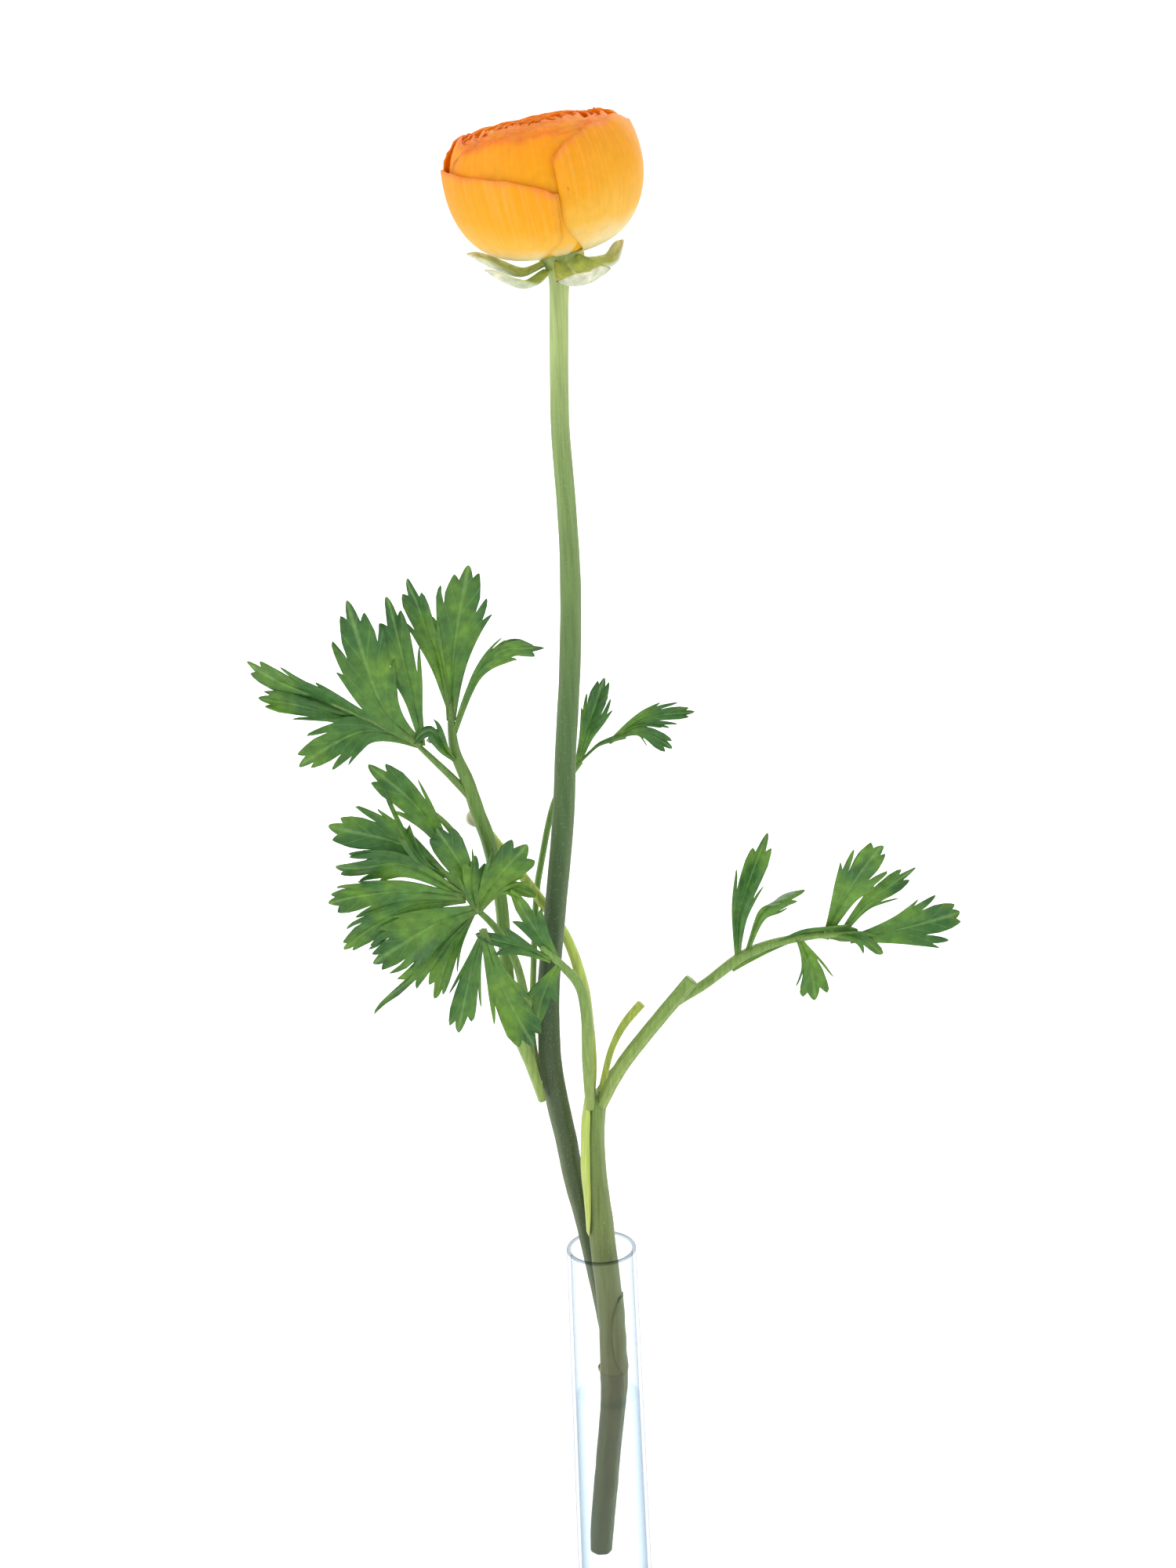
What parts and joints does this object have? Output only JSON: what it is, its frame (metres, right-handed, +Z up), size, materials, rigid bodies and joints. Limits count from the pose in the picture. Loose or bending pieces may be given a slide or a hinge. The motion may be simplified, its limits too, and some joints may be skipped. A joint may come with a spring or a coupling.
{
  "type": "ranunculus flower in a glass tube vase",
  "caption": "Cut orange ranunculus with a tall stem, divided green leaves and a side shoot, standing in water in a narrow clear glass tube vase on a round foot.",
  "frame": {"origin": "centre of the vase foot's underside", "axes": "+Z up along the tube; the bloom and the view face -Y; +X to the right of the view"},
  "size_m": [0.1905, 0.056, 0.4567],
  "materials": {
    "clear_glass": "polished",
    "water": "gloss",
    "stem_green": "satin",
    "stalk_green": "satin",
    "leaf_green": "satin",
    "sepal_green": "matte",
    "bud_cream": "matte",
    "outer_petal_gold": "satin",
    "inner_petal_orange": "satin"
  },
  "bodies": {
    "root": {"broken_leaf_stalk": "stalk_green", "bud_stalk": "stalk_green", "flower_bud": "bud_cream", "flower_stem": "stem_green", "glass_vase": "clear_glass", "leaf_front_low": "leaf_green", "leaf_mid_left": "leaf_green", "leaf_right": "leaf_green", "leaf_small_right": "leaf_green", "leaf_upper_left": "leaf_green", "lower_stem": "stem_green", "outer_petal_1": "outer_petal_gold", "outer_petal_2": "outer_petal_gold", "outer_petal_3": "outer_petal_gold", "outer_petal_4": "outer_petal_gold", "sepal_1": "sepal_green", "sepal_2": "sepal_green", "sepal_3": "sepal_green", "sepal_4": "sepal_green", "sepal_5": "sepal_green", "side_shoot_stem": "stem_green", "torn_stalk_stub": "stalk_green", "water": "water", "whorl_1_petal_1": "inner_petal_orange", "whorl_1_petal_2": "inner_petal_orange", "whorl_1_petal_3": "inner_petal_orange", "whorl_1_petal_4": "inner_petal_orange", "whorl_1_petal_5": "inner_petal_orange", "whorl_2_petal_1": "inner_petal_orange", "whorl_2_petal_2": "inner_petal_orange", "whorl_2_petal_3": "inner_petal_orange", "whorl_2_petal_4": "inner_petal_orange", "whorl_2_petal_5": "inner_petal_orange", "whorl_3_petal_1": "inner_petal_orange", "whorl_3_petal_2": "inner_petal_orange", "whorl_3_petal_3": "inner_petal_orange", "whorl_3_petal_4": "inner_petal_orange", "whorl_3_petal_5": "inner_petal_orange", "whorl_4_petal_1": "inner_petal_orange", "whorl_4_petal_2": "inner_petal_orange", "whorl_4_petal_3": "inner_petal_orange", "whorl_4_petal_4": "inner_petal_orange", "whorl_4_petal_5": "inner_petal_orange", "whorl_5_petal_1": "inner_petal_orange", "whorl_5_petal_2": "inner_petal_orange", "whorl_5_petal_3": "inner_petal_orange", "whorl_5_petal_4": "inner_petal_orange", "whorl_6_petal_1": "inner_petal_orange", "whorl_6_petal_2": "inner_petal_orange", "whorl_6_petal_3": "inner_petal_orange"}
  },
  "joints": []
}
